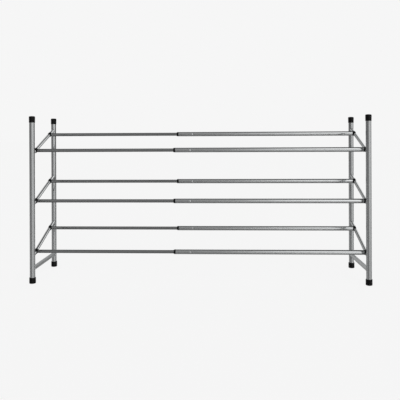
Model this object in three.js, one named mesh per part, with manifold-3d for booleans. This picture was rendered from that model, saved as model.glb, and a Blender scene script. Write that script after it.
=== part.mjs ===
import * as THREE from "three";
import { mergeVertices } from "three/addons/utils/BufferGeometryUtils.js";
import Module from "manifold-3d";

const wasm = await Module();
wasm.setup();

// Pull-out shoe rack: two welded end frames joined by six telescopic rails on three sloping tiers.
// Millimetres, +X to the right, +Y to the back, +Z up; the origin is on the floor, under the middle.
// The right frame carries the outer rail tubes. The left frame carries the inner rail tubes and pulls out.

// Size of the whole rack, in the half-open position
const OVERALL_HEIGHT = 500;
const FRAME_SPACING = 996;
const POST_SPACING = 210;

// Round steel tubes
const POST_DIAMETER = 16;
const POST_WALL = 1;
const SHELF_BAR_DIAMETER = 10;
const SHELF_BAR_WALL = 1;
const BASE_BAR_DIAMETER = 13;
const BASE_BAR_WALL = 1;
const OUTER_RAIL_DIAMETER = 14;
const OUTER_RAIL_WALL = 0.8;
const INNER_RAIL_DIAMETER = 10;
const INNER_RAIL_WALL = 0.8;

// Places of the bars' axes at the front posts, from the floor up and from the top down
const BASE_BAR_HEIGHT = 43;
const BOTTOM_TIER_OVER_BASE = 35.5;
const TOP_TIER_UNDER_TOP = 114.5;
const SHELF_RISE = 75.5;

// Places of the rails between the posts
const FRONT_RAIL_SETBACK = 30;
const BACK_RAIL_SETBACK = 45;

// Telescopic joint
const MOUTH_OFFSET = 71;
const INNER_RAIL_OVERLAP = 125;
const BUSHING_NOSE_LENGTH = 6;
const BUSHING_NOSE_TIP_WALL = 0.5;
const BUSHING_BARREL_LENGTH = 54;
const DIMPLE_FROM_BARREL_END = 7;
const DIMPLE_RADIUS = 3;
const DIMPLE_WINDOW_RADIUS = 2.8;
const GLIDE_COLLAR_LENGTH = 10;
const GLIDE_PLUG_LENGTH = 15;
const GLIDE_BORE_RADIUS = 2.4;
const GLIDE_CHAMFER = 1;

// Clips that hold the rails' ends on the sloping bars
const CLIP_WALL = 1.3;
const CLIP_WIDTH = 12;
const CLIP_JAW_REACH = 3;
const CLIP_FLANGE = 1.5;
const CLIP_PLUG_LENGTH = 15;
const CLIP_PLUG_CHAMFER = 0.8;

// Caps on the posts' tops
const CAP_HEIGHT = 19.5;
const CAP_LIP_WALL = 0.5;
const CAP_CROWN_DIAMETER = 18.3;
const CAP_ROOF = 3;
const CAP_EDGE_RADIUS = 3;

// Feet under the posts
const FOOT_HEIGHT = 17.5;
const FOOT_RIM_WALL = 1.2;
const FOOT_SOLE_DIAMETER = 19.5;
const FOOT_FLOOR = 3;
const FOOT_EDGE_RADIUS = 2;

// Clearances: between pieces that slide or seat, and past the ends of cuts
const FIT = 0.3;
const OVERRUN = 1;

// Facets round each kind of piece
const POST_SIDES = 24;
const TUBE_SIDES = 18;
const MOULDED_SIDES = 20;
const SMALL_SIDES = 12;
const ROUNDING_STEPS = 3;

// Radii and lengths that follow from the sizes above
const POST_RADIUS = POST_DIAMETER / 2;
const SHELF_BAR_RADIUS = SHELF_BAR_DIAMETER / 2;
const OUTER_RAIL_RADIUS = OUTER_RAIL_DIAMETER / 2;
const OUTER_RAIL_BORE = OUTER_RAIL_RADIUS - OUTER_RAIL_WALL;
const INNER_RAIL_RADIUS = INNER_RAIL_DIAMETER / 2;
const INNER_RAIL_BORE = INNER_RAIL_RADIUS - INNER_RAIL_WALL;
const SLIDING_BORE = INNER_RAIL_RADIUS + FIT;
const BARREL_RADIUS = OUTER_RAIL_BORE - FIT;
const CLIP_BORE = SHELF_BAR_RADIUS + FIT;
const RAIL_END_OFFSET = CLIP_BORE + CLIP_FLANGE + FIT;
const RAIL_END_X = FRAME_SPACING / 2 - RAIL_END_OFFSET;
const INNER_RAIL_END_X = INNER_RAIL_OVERLAP - MOUTH_OFFSET;
const DIMPLE_DISTANCE = BUSHING_BARREL_LENGTH - DIMPLE_FROM_BARREL_END;
const SHELF_SLOPE = Math.atan2(SHELF_RISE, POST_SPACING);

// Finishes
const chrome = new THREE.MeshStandardMaterial({ color: 0xc9cbcd, roughness: 0.16, metalness: 1 });
const blackPlastic = new THREE.MeshStandardMaterial({ color: 0x141415, roughness: 0.42, metalness: 0 });

// Solids for joining and cutting
function solidOf(geometry) {
  geometry.deleteAttribute("normal");
  geometry.deleteAttribute("uv");
  const merged = mergeVertices(geometry);
  const mesh = new wasm.Mesh({
    numProp: merged.attributes.position.itemSize,
    vertProperties: new Float32Array(merged.attributes.position.array),
    triVerts: new Uint32Array(merged.index.array),
  });
  return new wasm.Manifold(mesh);
}

function geometryOf(solid) {
  const mesh = solid.getMesh();
  const geometry = new THREE.BufferGeometry();
  geometry.setAttribute("position", new THREE.BufferAttribute(mesh.vertProperties, mesh.numProp));
  geometry.setIndex(new THREE.BufferAttribute(mesh.triVerts, 1));
  geometry.computeVertexNormals();
  return geometry;
}

// A revolved shape: its profile is a list of [radius, distance] along the axis, and lies along +Z
function revolved(profile, sides) {
  const points = profile.map(([radius, along]) => new THREE.Vector2(radius, along));
  return new THREE.LatheGeometry(points, sides).rotateX(Math.PI / 2);
}

function rodAlongZ(radius, from, to, sides) {
  return revolved([[0, from], [radius, from], [radius, to], [0, to]], sides);
}

function tubeAlongZ(radius, bore, from, to, sides) {
  return revolved([[bore, from], [radius, from], [radius, to], [bore, to], [bore, from]], sides);
}

// Points of an arc, from one angle to another, for the rounded edges in a profile
function arcPoints(radius, centreRadius, centreAlong, startAngle, endAngle) {
  const points = [];
  for (let step = 0; step <= ROUNDING_STEPS; step += 1) {
    const angle = THREE.MathUtils.lerp(startAngle, endAngle, step / ROUNDING_STEPS);
    points.push([centreRadius + radius * Math.cos(angle), centreAlong + radius * Math.sin(angle)]);
  }
  return points;
}

const rack = new THREE.Group();

function addPiece(parent, name, geometry, material) {
  const mesh = new THREE.Mesh(geometry, material);
  mesh.name = name;
  parent.add(mesh);
  return mesh;
}

// Upright: a round tube that stands on the foot's floor and reaches the cap's roof
function postGeometry() {
  const top = OVERALL_HEIGHT - CAP_ROOF;
  return tubeAlongZ(POST_RADIUS, POST_RADIUS - POST_WALL, FOOT_FLOOR, top, POST_SIDES);
}

// Cap over the post's top: a thin lip that widens to a rounded crown
function capGeometry() {
  const bore = POST_RADIUS + FIT;
  const crown = CAP_CROWN_DIAMETER / 2;
  const bottom = OVERALL_HEIGHT - CAP_HEIGHT;
  const edgeHeight = OVERALL_HEIGHT - CAP_EDGE_RADIUS;
  const edge = arcPoints(CAP_EDGE_RADIUS, crown - CAP_EDGE_RADIUS, edgeHeight, 0, Math.PI / 2);
  const profile = [
    [0, OVERALL_HEIGHT - CAP_ROOF], [bore, OVERALL_HEIGHT - CAP_ROOF], [bore, bottom],
    [bore + CAP_LIP_WALL, bottom], ...edge, [0, OVERALL_HEIGHT],
  ];
  return revolved(profile, MOULDED_SIDES);
}

// Foot under the post: a cup that widens to a rounded sole
function footGeometry() {
  const bore = POST_RADIUS + FIT;
  const sole = FOOT_SOLE_DIAMETER / 2;
  const edge = arcPoints(FOOT_EDGE_RADIUS, sole - FOOT_EDGE_RADIUS, FOOT_EDGE_RADIUS, -Math.PI / 2, 0);
  const profile = [
    [0, 0], ...edge, [bore + FOOT_RIM_WALL, FOOT_HEIGHT], [bore, FOOT_HEIGHT],
    [bore, FOOT_FLOOR], [0, FOOT_FLOOR],
  ];
  return revolved(profile, MOULDED_SIDES);
}

// Bar between the posts' axes, with its ends cut to the posts' round sides.
// It is built in the frame's own plane: y along the depth, z up, from height frontHeight to backHeight.
function barGeometry(diameter, wall, frontHeight, backHeight) {
  const rise = backHeight - frontHeight;
  const length = Math.hypot(POST_SPACING, rise);
  const bar = tubeAlongZ(diameter / 2, diameter / 2 - wall, -length / 2, length / 2, TUBE_SIDES);
  bar.rotateX(Math.atan2(rise, POST_SPACING) - Math.PI / 2);
  bar.translate(0, 0, (frontHeight + backHeight) / 2);
  let solid = solidOf(bar);
  for (const side of [-1, 1]) {
    const post = rodAlongZ(POST_RADIUS + FIT, 0, OVERALL_HEIGHT, POST_SIDES);
    post.translate(0, side * POST_SPACING / 2, 0);
    solid = solid.subtract(solidOf(post));
  }
  return geometryOf(solid);
}

// Outer rail tube along +X from its mouth, with one dimple pressed into its front side
function outerRailGeometry() {
  const length = RAIL_END_X + MOUTH_OFFSET;
  const lieAlongX = (geometry) => geometry.rotateY(Math.PI / 2);
  const skin = solidOf(lieAlongX(rodAlongZ(OUTER_RAIL_RADIUS, 0, length, TUBE_SIDES)));
  const bore = solidOf(lieAlongX(rodAlongZ(OUTER_RAIL_BORE, -OVERRUN, length + OVERRUN, TUBE_SIDES)));
  const dent = dimpleBall(DIMPLE_RADIUS);
  const bump = dimpleBall(DIMPLE_RADIUS + OUTER_RAIL_WALL);
  return geometryOf(skin.subtract(dent).subtract(bore.subtract(bump)));
}

// Ball that presses the dimple, centred so that the dimple's inner bump ends FIT short of the inner tube
function dimpleBall(radius) {
  const ball = new THREE.SphereGeometry(radius, SMALL_SIDES, SMALL_SIDES / 2);
  ball.translate(DIMPLE_DISTANCE, -(SLIDING_BORE + DIMPLE_RADIUS + OUTER_RAIL_WALL), 0);
  return solidOf(ball);
}

// Bushing in the mouth: a barrel inside the tube, and a nose that closes the gap round the inner tube.
// The dimple snaps into the round window in the barrel.
function bushingGeometry() {
  const tip = SLIDING_BORE + BUSHING_NOSE_TIP_WALL;
  const nose = arcPoints(1, 0, 0, Math.PI, Math.PI / 2).map(([along, out]) => [
    tip + out * (OUTER_RAIL_RADIUS - tip),
    -FIT + along * (BUSHING_NOSE_LENGTH - FIT),
  ]);
  const profile = [
    [SLIDING_BORE, BUSHING_BARREL_LENGTH], [SLIDING_BORE, -BUSHING_NOSE_LENGTH], ...nose,
    [BARREL_RADIUS, -FIT], [BARREL_RADIUS, BUSHING_BARREL_LENGTH], [SLIDING_BORE, BUSHING_BARREL_LENGTH],
  ];
  const body = solidOf(revolved(profile, TUBE_SIDES).rotateY(Math.PI / 2));
  const drill = rodAlongZ(DIMPLE_WINDOW_RADIUS, 0, OUTER_RAIL_RADIUS + OVERRUN, SMALL_SIDES);
  drill.rotateX(Math.PI / 2).translate(DIMPLE_DISTANCE, 0, 0);
  return geometryOf(body.subtract(solidOf(drill)));
}

// Inner rail tube along +X from its clip
function innerRailGeometry() {
  const length = RAIL_END_X + INNER_RAIL_END_X;
  const tube = tubeAlongZ(INNER_RAIL_RADIUS, INNER_RAIL_BORE, 0, length, TUBE_SIDES);
  return tube.rotateY(Math.PI / 2);
}

// Glide on the inner tube's far end: a plug in the tube and a collar that runs in the outer tube.
// The collar meets the bushing's barrel when the rack is pulled out all the way.
function glideGeometry() {
  const plug = INNER_RAIL_BORE - FIT;
  const profile = [
    [GLIDE_BORE_RADIUS, -GLIDE_PLUG_LENGTH], [plug - GLIDE_CHAMFER / 2, -GLIDE_PLUG_LENGTH],
    [plug, GLIDE_CHAMFER - GLIDE_PLUG_LENGTH], [plug, FIT],
    [BARREL_RADIUS, FIT], [BARREL_RADIUS, GLIDE_COLLAR_LENGTH - GLIDE_CHAMFER],
    [BARREL_RADIUS - GLIDE_CHAMFER, GLIDE_COLLAR_LENGTH], [GLIDE_BORE_RADIUS, GLIDE_COLLAR_LENGTH],
    [GLIDE_BORE_RADIUS, -GLIDE_PLUG_LENGTH],
  ];
  return revolved(profile, SMALL_SIDES).rotateY(Math.PI / 2);
}

// Clip on a rail's end, with the sloping bar's axis at the origin and the rail leaving along X towards inward.
// Its jaws snap round the bar from the rack's inner side, its neck seats the tube and its plug fills it.
function clipGeometry(railRadius, railBore, inward) {
  const jawRadius = CLIP_BORE + CLIP_WALL;
  const alongRail = (geometry) => geometry.rotateY(inward * Math.PI / 2);
  const alongBar = (geometry) => geometry.rotateX(SHELF_SLOPE - Math.PI / 2);
  const jaws = solidOf(alongBar(rodAlongZ(jawRadius, -CLIP_WIDTH / 2, CLIP_WIDTH / 2, MOULDED_SIDES)));
  const neck = solidOf(alongRail(rodAlongZ(railRadius, 0, RAIL_END_OFFSET - FIT, TUBE_SIDES)));
  const plugRadius = railBore - FIT;
  const plugEnd = RAIL_END_OFFSET + CLIP_PLUG_LENGTH;
  const plug = solidOf(alongRail(revolved([
    [0, 0], [plugRadius, 0], [plugRadius, plugEnd - CLIP_PLUG_CHAMFER],
    [plugRadius - CLIP_PLUG_CHAMFER, plugEnd], [0, plugEnd],
  ], TUBE_SIDES)));
  const barSpan = OUTER_RAIL_DIAMETER;
  const barSpace = solidOf(alongBar(rodAlongZ(CLIP_BORE, -barSpan, barSpan, MOULDED_SIDES)));
  const mouth = new THREE.BoxGeometry(jawRadius, jawRadius * 2, CLIP_WIDTH * 2);
  mouth.translate(-inward * (CLIP_JAW_REACH + jawRadius / 2), 0, 0);
  alongBar(mouth);
  return geometryOf(jaws.add(neck).add(plug).subtract(barSpace).subtract(solidOf(mouth)));
}

// The tiers, evenly spaced from the floor up, and the two rails of each
const bottomTierHeight = BASE_BAR_HEIGHT + BOTTOM_TIER_OVER_BASE;
const topTierHeight = OVERALL_HEIGHT - TOP_TIER_UNDER_TOP;
const tiers = ["bottom", "middle", "top"].map((name, index, names) => ({
  name,
  frontHeight: THREE.MathUtils.lerp(bottomTierHeight, topTierHeight, index / (names.length - 1)),
}));
const railRows = [
  { name: "front", y: FRONT_RAIL_SETBACK - POST_SPACING / 2 },
  { name: "back", y: POST_SPACING / 2 - BACK_RAIL_SETBACK },
];

// End frames: two posts with their caps and feet, three sloping bars and a level base bar
for (const [sideName, side] of [["left", -1], ["right", 1]]) {
  const frame = new THREE.Group();
  frame.position.x = side * FRAME_SPACING / 2;
  rack.add(frame);
  for (const [rowName, row] of [["front", -1], ["back", 1]]) {
    const upright = new THREE.Group();
    upright.position.y = row * POST_SPACING / 2;
    frame.add(upright);
    addPiece(upright, `${sideName}_${rowName}_post`, postGeometry(), chrome);
    addPiece(upright, `${sideName}_${rowName}_cap`, capGeometry(), blackPlastic);
    addPiece(upright, `${sideName}_${rowName}_foot`, footGeometry(), blackPlastic);
  }
  for (const tier of tiers) {
    const backHeight = tier.frontHeight + SHELF_RISE;
    const bar = barGeometry(SHELF_BAR_DIAMETER, SHELF_BAR_WALL, tier.frontHeight, backHeight);
    addPiece(frame, `${sideName}_${tier.name}_shelf_bar`, bar, chrome);
  }
  const base = barGeometry(BASE_BAR_DIAMETER, BASE_BAR_WALL, BASE_BAR_HEIGHT, BASE_BAR_HEIGHT);
  addPiece(frame, `${sideName}_base_bar`, base, chrome);
}

// Telescopic rails: each lies along X, level, with its ends on the sloping bars of its tier
for (const tier of tiers) {
  for (const row of railRows) {
    const rail = new THREE.Group();
    const fromFrontPost = row.y + POST_SPACING / 2;
    rail.position.set(0, row.y, tier.frontHeight + SHELF_RISE * fromFrontPost / POST_SPACING);
    rack.add(rail);
    const name = `${tier.name}_${row.name}`;

    addPiece(rail, `${name}_outer_rail`, outerRailGeometry(), chrome).position.x = -MOUTH_OFFSET;
    addPiece(rail, `${name}_bushing`, bushingGeometry(), blackPlastic).position.x = -MOUTH_OFFSET;
    addPiece(rail, `${name}_inner_rail`, innerRailGeometry(), chrome).position.x = -RAIL_END_X;
    addPiece(rail, `${name}_glide`, glideGeometry(), blackPlastic).position.x = INNER_RAIL_END_X;

    const leftClip = clipGeometry(INNER_RAIL_RADIUS, INNER_RAIL_BORE, 1);
    addPiece(rail, `${name}_left_clip`, leftClip, blackPlastic).position.x = -FRAME_SPACING / 2;
    const rightClip = clipGeometry(OUTER_RAIL_RADIUS, OUTER_RAIL_BORE, -1);
    addPiece(rail, `${name}_right_clip`, rightClip, blackPlastic).position.x = FRAME_SPACING / 2;
  }
}

export default rack;
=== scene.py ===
# %% [markdown]
# A pull-out shoe rack in chromed tube. Two welded end frames stand on black feet, and six telescopic
# rails join them on three sloping tiers. The frame file already holds every piece at its real size
# and place, as plain faceted solids. This lesson makes the fine surface of each piece round them:
# tubes with rounded rims, weld beads, a pressed dimple, moulded caps, feet, bushings and clips.

# %% Load the frame
import math

import bmesh
import bpy
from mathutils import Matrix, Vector


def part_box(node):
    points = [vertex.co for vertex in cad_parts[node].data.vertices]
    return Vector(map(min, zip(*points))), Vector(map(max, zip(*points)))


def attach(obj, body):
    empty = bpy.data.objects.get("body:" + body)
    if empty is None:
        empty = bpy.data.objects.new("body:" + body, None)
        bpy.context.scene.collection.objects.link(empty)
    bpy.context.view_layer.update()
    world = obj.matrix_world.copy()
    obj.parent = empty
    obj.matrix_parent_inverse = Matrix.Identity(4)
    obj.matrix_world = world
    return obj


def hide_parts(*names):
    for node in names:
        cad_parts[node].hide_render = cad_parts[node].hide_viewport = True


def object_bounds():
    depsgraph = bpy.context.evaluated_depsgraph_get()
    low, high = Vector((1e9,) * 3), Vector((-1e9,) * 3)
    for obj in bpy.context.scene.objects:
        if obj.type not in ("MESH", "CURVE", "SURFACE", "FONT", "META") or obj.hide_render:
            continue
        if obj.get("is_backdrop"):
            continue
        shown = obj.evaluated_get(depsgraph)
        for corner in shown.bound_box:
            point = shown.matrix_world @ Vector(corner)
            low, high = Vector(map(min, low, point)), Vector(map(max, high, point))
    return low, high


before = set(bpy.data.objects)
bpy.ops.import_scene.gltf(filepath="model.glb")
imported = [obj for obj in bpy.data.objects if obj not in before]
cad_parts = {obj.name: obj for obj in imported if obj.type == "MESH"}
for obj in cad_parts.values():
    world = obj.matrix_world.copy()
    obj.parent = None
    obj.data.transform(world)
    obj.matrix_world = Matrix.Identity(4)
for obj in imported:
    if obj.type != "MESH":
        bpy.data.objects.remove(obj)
cad_bounds = [list(corner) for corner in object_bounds()]
print("Box of the plain model:", cad_bounds)

# %% [markdown]
# Nothing is placed by eye. The places and radii of the posts and rails are read from the plain
# solids, so a change of the frame moves the fine pieces with it. Wall thicknesses and small radii
# can't be read from a box, so each is named in metres where it is first needed.

# %% Measure the frame
MM = 0.001


def middle_of(node):
    low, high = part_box(node)
    return (low + high) / 2


def size_of(node):
    low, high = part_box(node)
    return high - low


def base_of(node):
    """The lowest point on an upright piece's axis."""
    middle = middle_of(node)
    return Vector((middle.x, middle.y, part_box(node)[0].z))


def tube_radius(node):
    """A faceted tube reaches its full radius in at least one direction across it."""
    return sorted(size_of(node))[1] / 2


ROWS = ("front", "back")
TIERS = ("bottom", "middle", "top")
POST_RADIUS = tube_radius("left_front_post")
OUTER_RADIUS = tube_radius("bottom_front_outer_rail")
INNER_RADIUS = tube_radius("bottom_front_inner_rail")
POST_HALF_SPACING = (middle_of("left_back_post").y - middle_of("left_front_post").y) / 2
rail_places = {(tier, row): middle_of(f"{tier}_{row}_outer_rail") for tier in TIERS for row in ROWS}
front_rail = rail_places["bottom", "front"]
back_rail = rail_places["bottom", "back"]
SHELF_SLOPE = math.atan2(back_rail.z - front_rail.z, back_rail.y - front_rail.y)


def on_rail(tier, row, x):
    """The point at x on a rail's axis."""
    place = rail_places[tier, row]
    return Vector((x, place.y, place.z))


print(f"Tubes across in mm: posts {POST_RADIUS * 2 / MM:.1f}, outer rails {OUTER_RADIUS * 2 / MM:.1f},",
      f"inner rails {INNER_RADIUS * 2 / MM:.1f}")
print(f"The tiers slope {math.degrees(SHELF_SLOPE):.1f} degrees")

# %% [markdown]
# The camera stands where the photographer stood: 1.7 m in front of the rack, a little to the right
# of its middle and just under its top, with the lens level. The rack hangs low in the picture, so
# the lens is shifted and not tilted, which keeps the posts upright. Focal length, place, turn and
# roll come from the posts' and rails' places in the photograph.

# %% Set up the camera
CAMERA_PLACE = Vector((62.9, -1693.1, 435.5)) * MM
CAMERA_TURN = math.radians(2.09)
CAMERA_ROLL = math.radians(0.24)
CAMERA_SENSOR = 36
CAMERA_LENS = 48.35
CAMERA_SHIFT = -0.1576


def deselect_all():
    """Each operator acts on all that is selected, so nothing is left selected before one."""
    bpy.ops.object.select_all(action="DESELECT")


deselect_all()
bpy.ops.object.camera_add(
    location=CAMERA_PLACE, rotation=(math.pi / 2, CAMERA_ROLL, CAMERA_TURN)
)
camera = bpy.context.object
camera.name = "rack_camera"
camera.data.sensor_width = CAMERA_SENSOR
camera.data.lens = CAMERA_LENS
camera.data.shift_y = CAMERA_SHIFT
bpy.context.scene.camera = camera
bpy.context.scene.view_settings.view_transform = "Standard"
print(f"Camera {camera.location.length:.2f} m from the origin, lens {CAMERA_LENS} mm")

# %% [markdown]
# A few helpers build node trees. Each node is made, placed and fed in one call, and whatever feeds
# it is a plain value or another node's output, so the materials below read as short lists. Every
# material reads Object coordinates, because each finished piece sits at the origin, unturned.

# %% Helpers for node trees
NODE_STEP = 190


def feed(tree, socket, value):
    """Links another node's output to a socket, or gives the socket a plain value."""
    if isinstance(value, bpy.types.NodeSocket):
        tree.links.new(value, socket)
    else:
        socket.default_value = value


def add_node(tree, kind, inputs=(), **settings):
    """Adds a node, sets its properties and feeds its named or numbered inputs."""
    made = tree.nodes.new(kind)
    for key, value in settings.items():
        setattr(made, key, value)
    for key, value in dict(inputs).items():
        feed(tree, made.inputs[key], value)
    made.location = (len(tree.nodes) * NODE_STEP, 0)
    return made


def math_node(tree, operation, first, second, clamp=False):
    """Works out a sum, product or the like of two numbers."""
    made = add_node(
        tree, "ShaderNodeMath", {0: first, 1: second}, operation=operation, use_clamp=clamp
    )
    return made.outputs[0]


def mix_colours(tree, factor, first, second):
    """Mixes two colours. The node has its colour sockets after those for numbers and vectors."""
    made = add_node(
        tree, "ShaderNodeMix", {"Factor": factor, 6: first, 7: second}, data_type="RGBA"
    )
    return made.outputs[2]


def map_range(tree, value, from_low, from_high, to_high=1.0, smooth=False):
    """Maps a number from one range to the range from 0 to to_high, clamped at both ends."""
    made = add_node(
        tree, "ShaderNodeMapRange",
        {"Value": value, "From Min": from_low, "From Max": from_high, "To Max": to_high},
        interpolation_type="SMOOTHSTEP" if smooth else "LINEAR",
    )
    return made.outputs["Result"]


print("Node helpers ready")

# %% [markdown]
# The studio is a dim room with a large soft window to the right of the camera, paler walls and a
# plain pale backdrop. Chromed tube is a mirror, so what it shows is this room: the rails catch the
# window near the right frame and fade to grey towards the left, and each upright has one bright
# stripe. Lamps could do it too, but round patches with soft edges in the world give the even shade
# of large diffusers and no noise.

# %% Soft lights
# name: (degrees right of the camera, degrees up, half width, width of the soft edge, brightness)
SOFT_LIGHTS = {
    "window": (21, 0, 17, 9, 0.86),
    "upper window": (25, 36, 13, 7, 1.2),
    "right wall": (69, 8, 11, 20, 0.96),
    "right of the back": (138, 25, 13, 11, 1.25),
    "left wall": (-35, 0, 23, 17, 0.26),
    "upper left": (-91, 19, 6, 17, 0.75),
    "left of the back": (-160, 8, 25, 32, 0.5),
    "ceiling": (8, 50, 28, 22, 0.4),
}


def direction_of(turn, height):
    """The direction of a light that stands turn degrees right of the camera, seen from the rack."""
    turn, height = math.radians(turn), math.radians(height)
    return Vector((
        math.cos(height) * math.sin(turn), -math.cos(height) * math.cos(turn), math.sin(height)
    ))


def soft_patch(tree, ray, direction, half_width, edge, strength=1.0):
    """How bright a round patch is along each ray. Its half width and soft edge are in degrees."""
    toward = add_node(
        tree, "ShaderNodeVectorMath", {0: ray, 1: direction}, operation="DOT_PRODUCT"
    ).outputs["Value"]
    return map_range(
        tree, toward, math.cos(math.radians(half_width + edge)), math.cos(math.radians(half_width)),
        to_high=strength, smooth=True,
    )


print("Soft lights:", ", ".join(SOFT_LIGHTS))

# %% [markdown]
# The patches add up over the room's own faint light. The camera sees none of them, only the pale
# backdrop, by Is Camera Ray. Metal sees the backdrop where it stands, straight behind the rack, by
# Is Glossy Ray, and glass would see it by Is Transmission Ray.

# %% Light the studio
PALE = 0.922
ROOM_LIGHT = 0.01
ROOM_TINT = (0.99, 1.0, 1.0)
BACKDROP_DIRECTION = (0, 1, 0)
BACKDROP_HALF_WIDTH = 5
BACKDROP_EDGE = 10

world = bpy.data.worlds.new("soft_studio")
bpy.context.scene.world = world
world.use_nodes = True
tree = world.node_tree
tree.nodes.clear()
ray = add_node(tree, "ShaderNodeTexCoord").outputs["Generated"]
brightness = ROOM_LIGHT
for turn, height, half_width, edge, strength in SOFT_LIGHTS.values():
    patch = soft_patch(tree, ray, direction_of(turn, height), half_width, edge, strength)
    brightness = math_node(tree, "ADD", patch, brightness)

rays = add_node(tree, "ShaderNodeLightPath").outputs
backdrop = soft_patch(tree, ray, BACKDROP_DIRECTION, BACKDROP_HALF_WIDTH, BACKDROP_EDGE)
in_metal = math_node(tree, "MULTIPLY", rays["Is Glossy Ray"], backdrop)
shows_pale = math_node(tree, "MAXIMUM", rays["Is Camera Ray"], in_metal)
shows_pale = math_node(tree, "MAXIMUM", shows_pale, rays["Is Transmission Ray"])
room = add_node(
    tree, "ShaderNodeVectorMath", {0: ROOM_TINT, "Scale": brightness}, operation="SCALE"
)
colour = mix_colours(tree, shows_pale, room.outputs[0], (PALE, PALE, PALE, 1))
background = add_node(tree, "ShaderNodeBackground", {"Color": colour, "Strength": 1.0})
add_node(tree, "ShaderNodeOutputWorld", {"Surface": background.outputs[0]})
print(f"Studio lit by {len(SOFT_LIGHTS)} soft patches over {ROOM_LIGHT} of room light")

# %% [markdown]
# The floor is a wide pale disc. To the camera most of its shade is its own even glow, so it runs into
# the backdrop with no line, and the rest is real light, so the rack keeps a faint soft shadow. Metal
# doesn't see the glow, because the tubes' undersides are darker than the ground in the photograph.
# It sees a glossy sheet, and the gloss carries the window's stripe down the uprights, which mirror
# the floor at a flat angle.

# %% Lay the floor
FLOOR_RADIUS = 60.0
FLOOR_SIDES = 96
FLOOR_GAP = 0.1 * MM
FLOOR_COLOUR = (0.8, 0.8, 0.8, 1)
FLOOR_IN_METAL = (0.82, 0.82, 0.82, 1)
FLOOR_ROUGHNESS = 0.12
FLOOR_POLISH = 0.45
FLOOR_GLOW = 1.0
GLOW_SHARE = 0.88

deselect_all()
bpy.ops.mesh.primitive_circle_add(
    vertices=FLOOR_SIDES, radius=FLOOR_RADIUS, fill_type="NGON", location=(0, 0, -FLOOR_GAP)
)
floor = bpy.context.object
floor.name = "pale_floor"
bpy.ops.object.transform_apply(location=True, rotation=True, scale=True)
pale_floor = bpy.data.materials.new("pale_floor")
pale_floor.use_nodes = True
tree = pale_floor.node_tree
tree.nodes.clear()
matt = add_node(tree, "ShaderNodeBsdfDiffuse", {"Color": FLOOR_COLOUR})
glow = add_node(tree, "ShaderNodeEmission", {"Strength": FLOOR_GLOW})
sheet = add_node(
    tree, "ShaderNodeBsdfPrincipled",
    {"Base Color": FLOOR_IN_METAL, "Roughness": FLOOR_ROUGHNESS, "Metallic": FLOOR_POLISH},
)
rays = add_node(tree, "ShaderNodeLightPath").outputs
seen = math_node(tree, "MAXIMUM", rays["Is Camera Ray"], rays["Is Transmission Ray"])
glow_share = math_node(tree, "MULTIPLY", seen, GLOW_SHARE)
glowing = add_node(
    tree, "ShaderNodeMixShader", {"Fac": glow_share, 1: matt.outputs[0], 2: glow.outputs[0]}
)
both = add_node(
    tree, "ShaderNodeMixShader",
    {"Fac": rays["Is Glossy Ray"], 1: glowing.outputs[0], 2: sheet.outputs[0]},
)
add_node(tree, "ShaderNodeOutputMaterial", {"Surface": both.outputs[0]})
floor.data.materials.append(pale_floor)
floor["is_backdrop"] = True
print(f"Floor laid, {FLOOR_RADIUS * 2:.0f} m across")

# %% [markdown]
# Effects that several materials share are node groups, each built once with named inputs. The first
# is the drawn surface of metal tube: fine lines along the tube, left by the drawing die and the
# polishing belt under the chrome. Noise that is stretched along the tube gives them. The group puts
# out a height for a bump and a mask for the shade.

# %% Group for drawn lines
FLOAT = "NodeSocketFloat"
VECTOR = "NodeSocketVector"
BROAD_STREAK_SHARE = 0.12


def new_group(name, inputs, outputs):
    """A shader node group with named float or vector inputs and outputs."""
    group = bpy.data.node_groups.new(name, "ShaderNodeTree")
    for label, kind, value in inputs:
        socket = group.interface.new_socket(name=label, in_out="INPUT", socket_type=kind)
        if value is not None:
            socket.default_value = value
    for label, kind in outputs:
        group.interface.new_socket(name=label, in_out="OUTPUT", socket_type=kind)
    start = group.nodes.new("NodeGroupInput")
    end = group.nodes.new("NodeGroupOutput")
    return group, start.outputs, end.inputs


def noise(tree, vector, scale, detail=2.0, roughness=0.5):
    """Adds a noise texture, whose result is from 0 to 1."""
    made = add_node(
        tree, "ShaderNodeTexNoise",
        {"Vector": vector, "Scale": scale, "Detail": detail, "Roughness": roughness},
    )
    return made.outputs["Fac"]


drawn_lines, given, result = new_group(
    "drawn_lines",
    [("Vector", VECTOR, None), ("Lines per metre", FLOAT, 1500.0)],
    [("Height", FLOAT), ("Mask", FLOAT)],
)
fine = noise(drawn_lines, given["Vector"], given["Lines per metre"], detail=3.0, roughness=0.6)
broad_scale = math_node(drawn_lines, "MULTIPLY", given["Lines per metre"], BROAD_STREAK_SHARE)
broad = noise(drawn_lines, given["Vector"], broad_scale, detail=1.0)
streaks = map_range(drawn_lines, broad, from_low=0.35, from_high=0.65, smooth=True)
feed(drawn_lines, result["Height"], fine)
feed(drawn_lines, result["Mask"], streaks)
print("Group", drawn_lines.name)

# %% [markdown]
# Hands leave a thin film on polished metal and on plastic. It shows as soft cloudy patches that are
# a little less glossy. Two sizes of noise, multiplied and pushed apart, give patches with clean
# metal between them. The group adds them to a roughness.

# %% Group for handling film
SMEARS_PER_PATCH = 7.0

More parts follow.
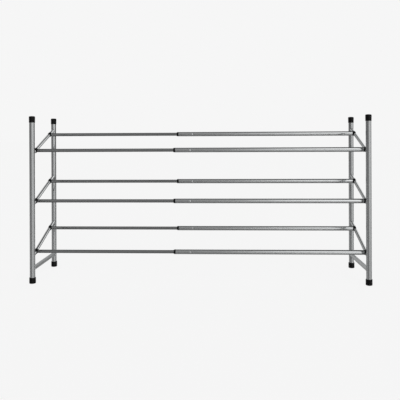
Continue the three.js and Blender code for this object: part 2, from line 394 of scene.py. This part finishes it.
handling_film, given, result = new_group(
    "handling_film",
    [("Vector", VECTOR, None), ("Patches per metre", FLOAT, 22.0),
     ("Clean roughness", FLOAT, 0.1), ("Filmed roughness", FLOAT, 0.2)],
    [("Roughness", FLOAT)],
)
patches = noise(handling_film, given["Vector"], given["Patches per metre"])
smear_scale = math_node(handling_film, "MULTIPLY", given["Patches per metre"], SMEARS_PER_PATCH)
smears = noise(handling_film, given["Vector"], smear_scale, detail=4.0, roughness=0.65)
smeared = math_node(handling_film, "MULTIPLY", patches, smears)
film = map_range(handling_film, smeared, from_low=0.2, from_high=0.36)
spread = math_node(
    handling_film, "SUBTRACT", given["Filmed roughness"], given["Clean roughness"]
)
added = math_node(handling_film, "MULTIPLY", spread, film)
roughness = math_node(handling_film, "ADD", given["Clean roughness"], added)
feed(handling_film, result["Roughness"], roughness)
print("Group", handling_film.name)

# %% [markdown]
# Dust settles on what faces up, such as the crowns of the caps and the tops of the rails. The mask
# takes the upward part of the surface's normal and breaks it with fine noise, so it is speckled
# and never a flat white coat.

# %% Group for settled dust
settled_dust, given, result = new_group(
    "settled_dust",
    [("Vector", VECTOR, None), ("Specks per metre", FLOAT, 900.0), ("Amount", FLOAT, 0.2)],
    [("Dust", FLOAT)],
)
normal = add_node(settled_dust, "ShaderNodeNewGeometry").outputs["Normal"]
upward = add_node(settled_dust, "ShaderNodeSeparateXYZ", {0: normal}).outputs["Z"]
facing_up = map_range(settled_dust, upward, from_low=0.45, from_high=1.0, smooth=True)
specks = noise(settled_dust, given["Vector"], given["Specks per metre"], detail=5.0, roughness=0.7)
specks = map_range(settled_dust, specks, from_low=0.42, from_high=0.7)
dust = math_node(settled_dust, "MULTIPLY", facing_up, specks)
dust = math_node(settled_dust, "MULTIPLY", dust, given["Amount"], clamp=True)
feed(settled_dust, result["Dust"], dust)
print("Group", settled_dust.name)

# %% [markdown]
# A moulded part copies the fine eroded surface of its steel mould. Under a close look it is an even
# grain with faint cloudy flow marks. The group puts out the grain's height and the clouds.

# %% Group for moulded grain
FLOW_MARK_SHARE = 0.04

moulded_grain, given, result = new_group(
    "moulded_grain",
    [("Vector", VECTOR, None), ("Grains per metre", FLOAT, 3500.0)],
    [("Height", FLOAT), ("Clouds", FLOAT)],
)
grain = noise(moulded_grain, given["Vector"], given["Grains per metre"], roughness=0.7)
cloud_scale = math_node(moulded_grain, "MULTIPLY", given["Grains per metre"], FLOW_MARK_SHARE)
clouds = noise(moulded_grain, given["Vector"], cloud_scale)
clouds = map_range(moulded_grain, clouds, from_low=0.3, from_high=0.7, smooth=True)
feed(moulded_grain, result["Height"], grain)
feed(moulded_grain, result["Clouds"], clouds)
print("Group", moulded_grain.name)

# %% [markdown]
# Edges wear first. On plastic they turn paler and smoother where shoes and hands rub them. The
# geometry's Pointiness is high on outward edges, and noise keeps the wear from being an even line.

# %% Group for worn edges
RUBS_PER_METRE = 260.0

worn_edges, given, result = new_group(
    "worn_edges",
    [("Vector", VECTOR, None), ("Starts at", FLOAT, 0.52), ("Full at", FLOAT, 0.62)],
    [("Wear", FLOAT)],
)
pointiness = add_node(worn_edges, "ShaderNodeNewGeometry").outputs["Pointiness"]
edges = map_range(worn_edges, pointiness, given["Starts at"], given["Full at"])
rubs = noise(worn_edges, given["Vector"], RUBS_PER_METRE, detail=3.0)
rubs = map_range(worn_edges, rubs, from_low=0.35, from_high=0.65)
feed(worn_edges, result["Wear"], math_node(worn_edges, "MULTIPLY", edges, rubs))
print("Group", worn_edges.name)

# %% [markdown]
# Bright chrome plate on steel: a metal whose shade is a cool light grey, as chromium mirrors only a
# little more than half of the light. It is polished but not perfect, so the roughness is about 0.1
# and rises in filmed patches. Lines run along each tube, so the same finish is made once for tubes
# along each direction, with the coordinates turned and stretched by a Mapping node. The inner rails
# get the same finish with a darker base colour.

# %% Finish: bright chrome
CHROME_LIGHT = (0.58, 0.586, 0.588, 1)
CHROME_DARK = (0.545, 0.55, 0.553, 1)
INNER_LIGHT = (0.35, 0.353, 0.355, 1)
INNER_DARK = (0.325, 0.328, 0.33, 1)
CHROME_DUST = (0.42, 0.41, 0.39, 1)
LINE_STRETCH = 70.0


def add_group(tree, group, vector, inputs):
    """Places a shared effect in a material and feeds its inputs."""
    return add_node(tree, "ShaderNodeGroup", {"Vector": vector, **inputs}, node_tree=group).outputs


def new_material(name, metallic):
    """A material, its Principled BSDF's sockets, and the Object coordinates for its patterns."""
    material = bpy.data.materials.new(name)
    material.use_nodes = True
    tree = material.node_tree
    surface = tree.nodes["Principled BSDF"].inputs
    surface["Metallic"].default_value = metallic
    place = add_node(tree, "ShaderNodeTexCoord").outputs["Object"]
    return material, tree, surface, place


def add_bump(tree, surface, height, strength, distance):
    """Gives a surface the relief of a height."""
    bump = add_node(
        tree, "ShaderNodeBump", {"Height": height, "Strength": strength, "Distance": distance}
    )
    feed(tree, surface["Normal"], bump.outputs["Normal"])


def chrome_along(name, turn, light=CHROME_LIGHT, dark=CHROME_DARK):
    """Chrome plate on a tube that lies along X once it is turned by these angles."""
    material, tree, surface, place = new_material(name, metallic=1.0)
    along = add_node(
        tree, "ShaderNodeMapping",
        {"Vector": place, "Rotation": turn, "Scale": (LINE_STRETCH, 1.0, 1.0)},
        vector_type="TEXTURE",
    ).outputs[0]
    lines = add_group(tree, drawn_lines, along, {"Lines per metre": 1800.0})
    film = add_group(
        tree, handling_film, place,
        {"Patches per metre": 16.0, "Clean roughness": 0.1, "Filmed roughness": 0.15},
    )
    dust = add_group(tree, settled_dust, place, {"Specks per metre": 1400.0, "Amount": 0.04})
    metal = mix_colours(tree, lines["Mask"], dark, light)
    feed(tree, surface["Base Color"], mix_colours(tree, dust["Dust"], metal, CHROME_DUST))
    feed(tree, surface["Roughness"], math_node(tree, "ADD", film["Roughness"], dust["Dust"]))
    add_bump(tree, surface, lines["Height"], strength=0.04, distance=0.02 * MM)
    return material


chrome_rail = chrome_along("chrome_along_rail", (0, 0, 0))
chrome_inner = chrome_along("chrome_along_inner_rail", (0, 0, 0), INNER_LIGHT, INNER_DARK)
chrome_post = chrome_along("chrome_along_post", (0, -math.pi / 2, 0))
chrome_base = chrome_along("chrome_along_base_bar", (0, 0, math.pi / 2))
chrome_shelf = chrome_along("chrome_along_shelf_bar", (0, -SHELF_SLOPE, math.pi / 2))
for finish in (chrome_rail, chrome_inner, chrome_post, chrome_base, chrome_shelf):
    print("Finish", finish.name)

# %% [markdown]
# The caps, feet, bushings, glides and clips are black polythene: deep black, softly glossy, with a
# fine grain. Rubbed edges are a shade paler, and a trace of dust lies on what faces up. The caps
# and feet are softer and shinier than the working parts, so each has its own values.

# %% Finish: black mouldings
BLACK_DEEP = (0.0025, 0.0025, 0.0028, 1)
BLACK_CLOUD = (0.0045, 0.0045, 0.0048, 1)
BLACK_RUBBED = (0.018, 0.018, 0.019, 1)
PLASTIC_DUST = (0.10, 0.097, 0.093, 1)
BLACK_GLOSS_LEVEL = 0.2


def black_moulding(name, clean, filmed, grain_height):
    """Black moulded plastic with its roughness where clean and filmed, and its grain's height."""
    material, tree, surface, place = new_material(name, metallic=0.0)
    surface["Specular IOR Level"].default_value = BLACK_GLOSS_LEVEL
    grain = add_group(tree, moulded_grain, place, {"Grains per metre": 3500.0})
    film = add_group(
        tree, handling_film, place,
        {"Patches per metre": 60.0, "Clean roughness": clean, "Filmed roughness": filmed},
    )
    wear = add_group(tree, worn_edges, place, {"Starts at": 0.515, "Full at": 0.6})
    dust = add_group(tree, settled_dust, place, {"Specks per metre": 2200.0, "Amount": 0.12})
    colour = mix_colours(tree, grain["Clouds"], BLACK_DEEP, BLACK_CLOUD)
    colour = mix_colours(tree, wear["Wear"], colour, BLACK_RUBBED)
    feed(tree, surface["Base Color"], mix_colours(tree, dust["Dust"], colour, PLASTIC_DUST))
    feed(tree, surface["Roughness"], film["Roughness"])
    add_bump(tree, surface, grain["Height"], strength=0.3, distance=grain_height)
    return material


black_foot = black_moulding("black_cap_and_foot", clean=0.2, filmed=0.3, grain_height=0.02 * MM)
black_fitting = black_moulding("black_fitting", clean=0.4, filmed=0.52, grain_height=0.03 * MM)
print("Black finishes:", black_foot.name, black_fitting.name)

# %% [markdown]
# Most of the work is done with the tools that a hand would use: add a primitive, extrude, spin,
# cut, bevel. These helpers select one piece, move its place into its mesh, and apply one modifier.

# %% Helpers for pieces and modifiers
SHARP_ANGLE = math.radians(50)


def only(piece):
    """Leaves this piece selected and active, and nothing else."""
    deselect_all()
    piece.select_set(True)
    bpy.context.view_layer.objects.active = piece


def place_applied(piece, name):
    """Moves the piece's place and turn into its mesh, and names it."""
    only(piece)
    bpy.ops.object.transform_apply(location=True, rotation=True, scale=True)
    piece.name = name
    piece.data.name = name
    return piece


def apply_modifier(piece, kind, **settings):
    """Adds a modifier, sets its properties and applies it."""
    only(piece)
    modifier = piece.modifiers.new(kind.title(), kind)
    for key, value in settings.items():
        setattr(modifier, key, value)
    bpy.ops.object.modifier_apply(modifier=modifier.name)


def soften_edges(piece, width, steps=2, angle=SHARP_ANGLE):
    """Rounds every edge that is sharper than the angle."""
    apply_modifier(piece, "BEVEL", width=width, segments=steps, limit_method="ANGLE",
                   angle_limit=angle, use_clamp_overlap=True)


def join_or_cut(piece, other, operation):
    """Joins another solid to the piece, or cuts it away, and deletes the other."""
    apply_modifier(piece, "BOOLEAN", operation=operation, solver="EXACT", object=other)
    bpy.data.objects.remove(other)


print("Helpers for pieces ready")

# %% [markdown]
# A turned piece starts as one vertex that is extruded from point to point along half of its
# section, as with the E key, and is then spun round its axis. Its rounded corners are arcs. A plain
# rod is a cylinder laid between two places, and serves to join to other solids or to cut them. A
# cutter reaches well past what it cuts, so that no thin skin is left.

# %% Helpers for round shapes
ROUND_SIDES = 64
SAME_PLACE = 0.001 * MM
CUTTER_REACH = 60 * MM


def clean_and_face_outward():
    """In edit mode: merges what lies at one place and turns all faces outward."""
    bpy.ops.mesh.select_all(action="SELECT")
    bpy.ops.mesh.remove_doubles(threshold=SAME_PLACE)
    bpy.ops.mesh.normals_make_consistent(inside=False)


def turned(name, profile, axis):
    """Spins a section, given as (radius, place along the axis) points, round X or Z."""
    along = Vector((1, 0, 0)) if axis == "X" else Vector((0, 0, 1))
    out = Vector((0, -1, 0)) if axis == "X" else Vector((1, 0, 0))
    places = [out * radius + along * distance for radius, distance in profile]
    deselect_all()
    bpy.ops.mesh.primitive_plane_add(location=places[0])
    piece = bpy.context.object
    bpy.ops.object.mode_set(mode="EDIT")
    bpy.ops.mesh.merge(type="CENTER")
    for here, there in zip(places, places[1:]):
        bpy.ops.mesh.extrude_region_move(TRANSFORM_OT_translate={"value": there - here})
    bpy.ops.mesh.select_all(action="SELECT")
    bpy.ops.mesh.spin(steps=ROUND_SIDES, angle=math.tau, center=(0, 0, 0), axis=along)
    clean_and_face_outward()
    bpy.ops.object.mode_set(mode="OBJECT")
    return place_applied(piece, name)


def arc(radius, centre_radius, centre_along, start, end, steps, height=None):
    """Points of a section's round corner, between two angles in degrees. A height makes it oval."""
    height = radius if height is None else height
    angles = [math.radians(start + (end - start) * step / steps) for step in range(steps + 1)]
    return [(centre_radius + radius * math.cos(angle), centre_along + height * math.sin(angle))
            for angle in angles]


def rod(name, radius, start, end, sides=ROUND_SIDES):
    """A plain round bar between two places."""
    path = end - start
    deselect_all()
    bpy.ops.mesh.primitive_cylinder_add(
        vertices=sides, radius=radius, depth=path.length, location=(start + end) / 2,
        rotation=path.to_track_quat("Z", "Y").to_euler(),
    )
    return place_applied(bpy.context.object, name)


print(f"Round shapes get {ROUND_SIDES} sides")

# %% [markdown]
# When a piece is ready it is handed to its body: the left half slides, the right half stands. It
# replaces the plain solid of the same place, which stays hidden as the collision shape. Repeated
# pieces are modelled once at the origin, then duplicated, each with its own mesh.

# %% Helpers for handing pieces over
BODIES = {"left": "left_half", "right": "right_half"}
SMOOTH_ANGLE = math.radians(32)


def hand_over(piece, node, ending, finish, body):
    """Gives a finished piece its name, finish and body, and hides the plain solid that it replaces."""
    place_applied(piece, f"{node}_{ending}")
    piece.data.materials.clear()
    piece.data.materials.append(finish)
    bpy.ops.object.shade_smooth_by_angle(angle=SMOOTH_ANGLE)
    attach(piece, body)
    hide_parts(node)


def copy_at(pattern, place):
    """A copy of the pattern with its own mesh, moved from the origin to a place."""
    only(pattern)
    bpy.ops.object.duplicate(linked=False)
    piece = bpy.context.object
    bpy.ops.transform.translate(value=place)
    bpy.ops.object.transform_apply(location=True, rotation=True, scale=True)
    return piece


def drop(pattern):
    """Deletes a pattern once all its copies are made."""
    print(pattern.name, "copied,", len(pattern.data.polygons), "faces each")
    bpy.data.objects.remove(pattern)


def put_on_uprights(pattern, part, ending, finish):
    """Copies a pattern that stands on the origin to all four uprights, then drops it."""
    for side, body in BODIES.items():
        for row in ROWS:
            node = f"{side}_{row}_{part}"
            hand_over(copy_at(pattern, base_of(node)), node, ending, finish, body)
    drop(pattern)


def put_on_rails(pattern, part, x, ending, finish, body):
    """Copies a pattern on the X axis to all six rails, its origin at x, then drops it."""
    for tier, row in rail_places:
        node = f"{tier}_{row}_{part}"
        hand_over(copy_at(pattern, on_rail(tier, row, x)), node, ending, finish, body)
    drop(pattern)


# %% [markdown]
# The uprights are 16 mm steel tube with a 1 mm wall, cut square and deburred. A ring is extruded
# upwards, given its wall by Solidify, and its four rims are rounded by a small bevel. One more ring
# lies close to each end. Smooth shading blends the rim's rounding into the next ring, and without
# that ring close by the whole mirror would bend with it and show the wrong part of the room.

# %% Uprights
POST_WALL = 1.0 * MM
RIM_ROUNDING = 0.2 * MM
RIM_ANGLE = math.radians(60)
END_RING = 0.8 * MM


def tube(name, start, end, radius, wall=0, stops=(), end_ring=END_RING):
    """An open tube, or a skin with no wall. Rings lie near its ends and at the shares in stops."""
    path = end - start
    near = end_ring / path.length
    deselect_all()
    bpy.ops.mesh.primitive_circle_add(
        vertices=ROUND_SIDES, radius=radius, fill_type="NOTHING", location=start,
        rotation=path.to_track_quat("Z", "Y").to_euler(),
    )
    piece = bpy.context.object
    bpy.ops.object.mode_set(mode="EDIT")
    bpy.ops.mesh.select_all(action="SELECT")
    shares = [0.0, near, *stops, 1 - near, 1.0]
    for here, there in zip(shares, shares[1:]):
        bpy.ops.mesh.extrude_region_move(TRANSFORM_OT_translate={"value": path * (there - here)})
    clean_and_face_outward()
    bpy.ops.object.mode_set(mode="OBJECT")
    place_applied(piece, name)
    if wall:
        give_wall(piece, wall)
    return piece


def give_wall(piece, wall):
    """Thickens a tube's skin inward and rounds its rims."""
    apply_modifier(piece, "SOLIDIFY", thickness=wall, offset=-1)
    soften_edges(piece, RIM_ROUNDING, angle=RIM_ANGLE)


post_length = size_of("left_front_post").z
post = tube("post", Vector(), Vector((0, 0, post_length)), POST_RADIUS, POST_WALL)
print(f"Uprights {post_length / MM:.0f} mm long")
put_on_uprights(post, "post", "tube", chrome_post)

# %% [markdown]
# The caps are soft mouldings pushed over the uprights' tops. The lip is thin and lies close to the
# tube, the side widens upwards, and the crown is gently domed with a well rounded shoulder. The
# section is drawn from the inside of the roof, down the bore, round the lip and up to the crown,
# and spun.

# %% Caps
CAP_BORE_GAP = 0.1 * MM
CAP_LIP_WALL = 0.75 * MM
CAP_LIP_ROUNDING = 0.35 * MM
CAP_SHOULDER = 2.6 * MM
CAP_DOME = 0.6 * MM

cap_height = size_of("left_front_cap").z
cap_radius = size_of("left_front_cap").y / 2
cap_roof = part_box("left_front_post")[1].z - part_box("left_front_cap")[0].z
bore = POST_RADIUS + CAP_BORE_GAP
lip = bore + CAP_LIP_WALL
crown_base = cap_height - CAP_DOME
crown_edge = cap_radius - CAP_SHOULDER
cap_section = [
    (0, cap_roof),
    *arc(CAP_LIP_ROUNDING, bore - CAP_LIP_ROUNDING, cap_roof - CAP_LIP_ROUNDING, 90, 0, steps=3),
    *arc(CAP_LIP_ROUNDING, lip - CAP_LIP_ROUNDING, CAP_LIP_ROUNDING, -90, 0, steps=4),
    *arc(CAP_SHOULDER, crown_edge, crown_base - CAP_SHOULDER, 0, 90, steps=8),
    *arc(crown_edge, 0, crown_base, 0, 90, steps=6, height=CAP_DOME)[1:],
]
print(f"Caps {cap_height / MM:.1f} mm tall")
put_on_uprights(turned("cap", cap_section, "Z"), "cap", "moulding", black_foot)

# %% [markdown]
# The feet are cups that the uprights stand in. Each widens towards the floor and ends in a rounded
# sole. The section runs from the inside floor of the cup, up the bore, over the rim, down the
# flared side, round the sole's edge and back to the axis.

# %% Feet
FOOT_RIM_WALL = 1.5 * MM
FOOT_RIM_ROUNDING = 0.45 * MM
FOOT_EDGE = 2.2 * MM

foot_height = size_of("left_front_foot").z
foot_radius = size_of("left_front_foot").y / 2
foot_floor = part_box("left_front_post")[0].z
rim = bore + FOOT_RIM_WALL
rim_base = foot_height - FOOT_RIM_ROUNDING
foot_section = [
    (0, foot_floor),
    (bore, foot_floor),
    *arc(FOOT_RIM_ROUNDING, bore + FOOT_RIM_ROUNDING, rim_base, 180, 90, steps=4),
    *arc(FOOT_RIM_ROUNDING, rim - FOOT_RIM_ROUNDING, rim_base, 90, 0, steps=4),
    *arc(FOOT_EDGE, foot_radius - FOOT_EDGE, FOOT_EDGE, 0, -90, steps=8),
    (0, 0),
]
print(f"Feet {foot_height / MM:.1f} mm tall")
put_on_uprights(turned("foot", foot_section, "Z"), "foot", "moulding", black_foot)

# %% [markdown]
# Each bar between two uprights is coped: its ends are cut to the uprights' round sides, so that
# they touch all round before welding. The tube is drawn from axis to axis, and two rods of the
# uprights' size are cut away from it. Here the rings near the ends stand just clear of the welds.

# %% Bars with coped ends
SHELF_BAR_RADIUS = 5.0 * MM
SHELF_BAR_WALL = 1.0 * MM
BASE_BAR_RADIUS = 6.5 * MM
BASE_BAR_WALL = 1.0 * MM
CLEAR_OF_WELD = 12 * MM


def half_bar(slope):
    """The way from a bar's middle to the back upright's axis. To the front one it is opposite."""
    return Vector((0, POST_HALF_SPACING, POST_HALF_SPACING * math.tan(slope)))


def coped_bar(name, radius, wall, slope):
    """A tube from upright to upright in the YZ plane, its middle at the origin."""
    half = half_bar(slope)
    bar = tube(name, -half, half, radius, end_ring=CLEAR_OF_WELD)
    apply_modifier(bar, "SOLIDIFY", thickness=wall, offset=-1)
    reach = Vector((0, 0, CUTTER_REACH))
    for end in (-half, half):
        cutter = rod("cutter", POST_RADIUS, end - reach, end + reach)
        join_or_cut(bar, cutter, "DIFFERENCE")
    return bar


shelf_bar = coped_bar("shelf_bar", SHELF_BAR_RADIUS, SHELF_BAR_WALL, SHELF_SLOPE)
base_bar = coped_bar("base_bar", BASE_BAR_RADIUS, BASE_BAR_WALL, 0)
print("Bars:", len(shelf_bar.data.polygons), "and", len(base_bar.data.polygons), "faces")

# %% [markdown]
# A weld bead runs round each joint. Its path is where the bar's skin meets the upright's skin, which
# a formula gives for any slope. A closed curve takes that path, its thickness pulses a little as the
# welder's dabs do, and it is turned into a mesh and joined to the bar.

# %% Weld beads
BEAD_RADIUS = 0.8 * MM
BEAD_POINTS = 96
BEAD_ROUND_STEPS = 4
BEAD_DABS = 16
BEAD_PULSE_SHARE = 0.12


def bead_path(radius, slope, end):
    """Points where a bar of this radius and slope meets the upright at its front (-1) or back (1)."""
    along = Vector((0, math.cos(slope), math.sin(slope)))
    across = Vector((1, 0, 0))
    over = Vector((0, -math.sin(slope), math.cos(slope)))
    start = half_bar(slope) * end
    points = []
    for step in range(BEAD_POINTS):
        turn = math.tau * step / BEAD_POINTS
        sideways = radius * math.cos(turn)
        rise = radius * math.sin(turn)
        depth = math.sqrt(POST_RADIUS ** 2 - sideways ** 2)
        travel = (-end * depth + rise * math.sin(slope)) / math.cos(slope)
        points.append(start + along * travel + across * sideways + over * rise)
    return points


def weld_bead(points):
    """A closed bead of pulsing thickness along the points, as a mesh."""
    curve = bpy.data.curves.new("weld_bead", "CURVE")
    curve.dimensions = "3D"
    curve.bevel_depth = BEAD_RADIUS
    curve.bevel_resolution = BEAD_ROUND_STEPS
    spline = curve.splines.new("POLY")
    spline.points.add(len(points) - 1)
    spline.use_cyclic_u = True
    for number, (place, point) in enumerate(zip(points, spline.points)):
        point.co = (*place, 1)
        point.radius = 1 + BEAD_PULSE_SHARE * math.sin(math.tau * BEAD_DABS * number / len(points))
    bead = bpy.data.objects.new("weld_bead", curve)
    bpy.context.collection.objects.link(bead)
    only(bead)
    bpy.ops.object.convert(target="MESH")
    return bpy.context.object


def weld(bar, radius, slope):
    """Joins a bead to the bar's front and back ends."""
    for end in (-1, 1):
        join_or_cut(bar, weld_bead(bead_path(radius, slope, end)), "UNION")


weld(shelf_bar, SHELF_BAR_RADIUS, SHELF_SLOPE)
weld(base_bar, BASE_BAR_RADIUS, 0)
for side, body in BODIES.items():
    for tier in TIERS:
        node = f"{side}_{tier}_shelf_bar"
        piece = copy_at(shelf_bar, middle_of(node))
        hand_over(piece, node, "welded", chrome_shelf, body)
    node = f"{side}_base_bar"
    piece = copy_at(base_bar, middle_of(node))
    hand_over(piece, node, "welded", chrome_base, body)
drop(shelf_bar)
drop(base_bar)

# %% [markdown]
# The outer rails are 14 mm tube. Near the mouth a punch has pressed a small dimple into the front
# side, which locks the plastic bushing inside. Close rings are extruded round that place, the
# vertex in the middle is pushed in with soft proportional editing, and the wall comes after, so
# the dimple shows inside the tube too.

# %% Outer rails
OUTER_WALL = 0.8 * MM
DIMPLE_FROM_MOUTH = 47 * MM
DIMPLE_DEPTH = 1.0 * MM
DIMPLE_REACH = 3.6 * MM
DENSE_REACH = DIMPLE_REACH * 1.3
DENSE_RINGS = 18

mouth_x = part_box("bottom_front_outer_rail")[0].x
outer_length = size_of("bottom_front_outer_rail").x
stops = [
    (DIMPLE_FROM_MOUTH + DENSE_REACH * (2 * ring / DENSE_RINGS - 1)) / outer_length
    for ring in range(DENSE_RINGS + 1)
]
outer_rail = tube(
    "outer_rail", Vector(), Vector((outer_length, 0, 0)), OUTER_RADIUS, stops=stops
)
only(outer_rail)
bpy.ops.object.mode_set(mode="EDIT")
bpy.ops.mesh.select_mode(type="VERT")
bpy.ops.mesh.select_all(action="DESELECT")
skin = bmesh.from_edit_mesh(outer_rail.data)
punch = Vector((DIMPLE_FROM_MOUTH, -OUTER_RADIUS, 0))
min(skin.verts, key=lambda vertex: (vertex.co - punch).length).select_set(True)
bmesh.update_edit_mesh(outer_rail.data)
bpy.ops.transform.translate(
    value=(0, DIMPLE_DEPTH, 0), use_proportional_edit=True, use_proportional_connected=True,
    proportional_edit_falloff="SMOOTH", proportional_size=DIMPLE_REACH,
)
bpy.ops.object.mode_set(mode="OBJECT")
give_wall(outer_rail, OUTER_WALL)
print(f"Outer rails {outer_length / MM:.0f} mm long")
put_on_rails(
    outer_rail, "outer_rail", mouth_x, "tube", chrome_rail, BODIES["right"]
)

# %% [markdown]
# The inner rails are plain 10 mm tube that slides in the outer ones. They are made as the uprights
# are, and lie along X.

# %% Inner rails
INNER_WALL = 0.8 * MM

inner_start_x, inner_end_x = (corner.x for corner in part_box("bottom_front_inner_rail"))
inner_length = inner_end_x - inner_start_x
inner_rail = tube("inner_rail", Vector(), Vector((inner_length, 0, 0)), INNER_RADIUS, INNER_WALL)
print(f"Inner rails {inner_length / MM:.0f} mm long")
put_on_rails(
    inner_rail, "inner_rail", inner_start_x, "tube", chrome_inner, BODIES["left"]
)

# %% [markdown]
# A bushing closes each outer tube's mouth and guides the inner tube. Only its nose shows: a short
# black cone with a round back that meets the tube's rim. Inside, its barrel is a thin sleeve with a
# round window, into which the dimple has snapped. It is a spun section with one hole cut.

# %% Bushings
SLIDING_GAP = 0.3 * MM
BUSHING_NOSE = 6.0 * MM
BUSHING_NOSE_TIP = 0.5 * MM
BUSHING_BARREL = 54.0 * MM
BUSHING_WINDOW = 2.8 * MM
BUSHING_RIM_GAP = 0.3 * MM
BUSHING_ROUNDING = 0.1 * MM
WINDOW_SIDES = 40

sliding_bore = INNER_RADIUS + SLIDING_GAP
barrel_radius = OUTER_RADIUS - OUTER_WALL - SLIDING_GAP
tip_radius = sliding_bore + BUSHING_NOSE_TIP
nose = arc(
    OUTER_RADIUS - tip_radius, tip_radius, -BUSHING_RIM_GAP, -90, 0, steps=8,
    height=BUSHING_NOSE - BUSHING_RIM_GAP,
)
bushing_section = [
    (sliding_bore, BUSHING_BARREL),
    (sliding_bore, -BUSHING_NOSE),
    *nose,
    (barrel_radius, -BUSHING_RIM_GAP),
    (barrel_radius, BUSHING_BARREL),
    (sliding_bore, BUSHING_BARREL),
]
bushing = turned("bushing", bushing_section, "X")
drill = rod(
    "drill", BUSHING_WINDOW, Vector((DIMPLE_FROM_MOUTH, 0, 0)),
    Vector((DIMPLE_FROM_MOUTH, -CUTTER_REACH, 0)), sides=WINDOW_SIDES,
)
join_or_cut(bushing, drill, "DIFFERENCE")
soften_edges(bushing, BUSHING_ROUNDING, steps=1)
print(f"Bushings for {sliding_bore * 2 / MM:.1f} mm, with {BUSHING_NOSE / MM:.0f} mm noses")
put_on_rails(
    bushing, "bushing", mouth_x, "moulding", black_fitting, BODIES["right"]
)

# %% [markdown]
# A glide is plugged into the hidden end of each inner tube. Its collar runs in the outer tube and
# stops against the bushing when the rack is pulled out all the way.

# %% Glides
GLIDE_BORE = 2.4 * MM
GLIDE_PLUG = 15.0 * MM
GLIDE_COLLAR = 10.0 * MM
GLIDE_CHAMFER = 1.0 * MM
GLIDE_ROUNDING = 0.15 * MM

plug_radius = INNER_RADIUS - INNER_WALL - SLIDING_GAP
glide_section = [
    (GLIDE_BORE, -GLIDE_PLUG),
    (plug_radius - GLIDE_CHAMFER / 2, -GLIDE_PLUG),
    (plug_radius, GLIDE_CHAMFER - GLIDE_PLUG),
    (plug_radius, SLIDING_GAP),
    (barrel_radius, SLIDING_GAP),
    *arc(GLIDE_CHAMFER, barrel_radius - GLIDE_CHAMFER, GLIDE_COLLAR - GLIDE_CHAMFER, 0, 90, steps=4),
    (GLIDE_BORE, GLIDE_COLLAR),
    (GLIDE_BORE, -GLIDE_PLUG),
]
glide = turned("glide", glide_section, "X")
soften_edges(glide, GLIDE_ROUNDING)
print(f"Glides {barrel_radius * 2 / MM:.1f} mm across")
put_on_rails(
    glide, "glide", inner_end_x, "moulding", black_fitting, BODIES["left"]
)

# %% [markdown]
# Each rail's end is held on the sloping bar by a clip: a C of plastic that snaps over the bar from
# the inside, a flange as wide as the tube that closes its end, and a plug inside the tube. The
# solids are joined, then the bar's place and the C's mouth are cut away, and all edges rounded.

# %% Clips
CLIP_GAP = 0.3 * MM
CLIP_WALL = 1.3 * MM
CLIP_WIDTH = 12.0 * MM
CLIP_REACH = 3.0 * MM
CLIP_FLANGE = 1.5 * MM
CLIP_PLUG = 15.0 * MM
CLIP_RIM_ROUNDING = 0.3 * MM
CLIP_PLUG_ROUNDING = 0.6 * MM
CLIP_EDGE_ROUNDING = 0.15 * MM

clip_bore = SHELF_BAR_RADIUS + CLIP_GAP
jaw_radius = clip_bore + CLIP_WALL
bar_direction = Vector((0, math.cos(SHELF_SLOPE), math.sin(SHELF_SLOPE)))


def rounded_rod(name, radius, start, end, rounding):
    """A round bar with rounded rims."""
    piece = rod(name, radius, start, end)
    soften_edges(piece, rounding, steps=3, angle=RIM_ANGLE)
    return piece


def clip_solid(name, rail_radius, rail_bore, inward):
    """A clip on a bar at the origin. The rail leaves along X, to the right if inward is 1."""
    rail_way = Vector((inward, 0, 0))
    half_jaw = bar_direction * CLIP_WIDTH / 2
    flange_end = clip_bore + CLIP_FLANGE
    plug_end = flange_end + CLIP_GAP + CLIP_PLUG
    reach = bar_direction * CUTTER_REACH
    clip = rounded_rod(name, jaw_radius, -half_jaw, half_jaw, CLIP_RIM_ROUNDING)
    neck = rounded_rod("neck", rail_radius, Vector(), rail_way * flange_end, CLIP_EDGE_ROUNDING)
    plug = rounded_rod(
        "plug", rail_bore - CLIP_GAP, Vector(), rail_way * plug_end, CLIP_PLUG_ROUNDING
    )
    join_or_cut(clip, neck, "UNION")
    join_or_cut(clip, plug, "UNION")
    join_or_cut(clip, rod("bar", clip_bore, -reach, reach), "DIFFERENCE")
    join_or_cut(clip, mouth_block(inward), "DIFFERENCE")
    soften_edges(clip, CLIP_EDGE_ROUNDING)
    return clip


def mouth_block(inward):
    """The block that opens the C on the side away from the rail."""
    deselect_all()
    centre_x = -inward * (CLIP_REACH + jaw_radius / 2)
    bpy.ops.mesh.primitive_cube_add(
        size=1, location=(centre_x, 0, 0), rotation=(SHELF_SLOPE, 0, 0),
        scale=(jaw_radius, CUTTER_REACH, CUTTER_REACH),
    )
    return place_applied(bpy.context.object, "mouth")


clips = {
    "left": clip_solid("left_clip", INNER_RADIUS, INNER_RADIUS - INNER_WALL, 1),
    "right": clip_solid("right_clip", OUTER_RADIUS, OUTER_RADIUS - OUTER_WALL, -1),
}
for tier, row in rail_places:
    for side, body in BODIES.items():
        node = f"{tier}_{row}_{side}_clip"
        bar_x = middle_of(f"{side}_{tier}_shelf_bar").x
        piece = copy_at(clips[side], on_rail(tier, row, bar_x))
        hand_over(piece, node, "moulding", black_fitting, body)
for pattern in clips.values():
    drop(pattern)

# %% [markdown]
# At the end the fine model's box is printed beside the plain model's: the looks must not change the
# rack's size.

# %% Print the two boxes
visual_bounds = [list(corner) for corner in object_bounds()]
for label, corners in (("Plain", cad_bounds), ("Fine", visual_bounds)):
    print(label, "box in mm:", [[round(value / MM, 2) for value in corner] for corner in corners])
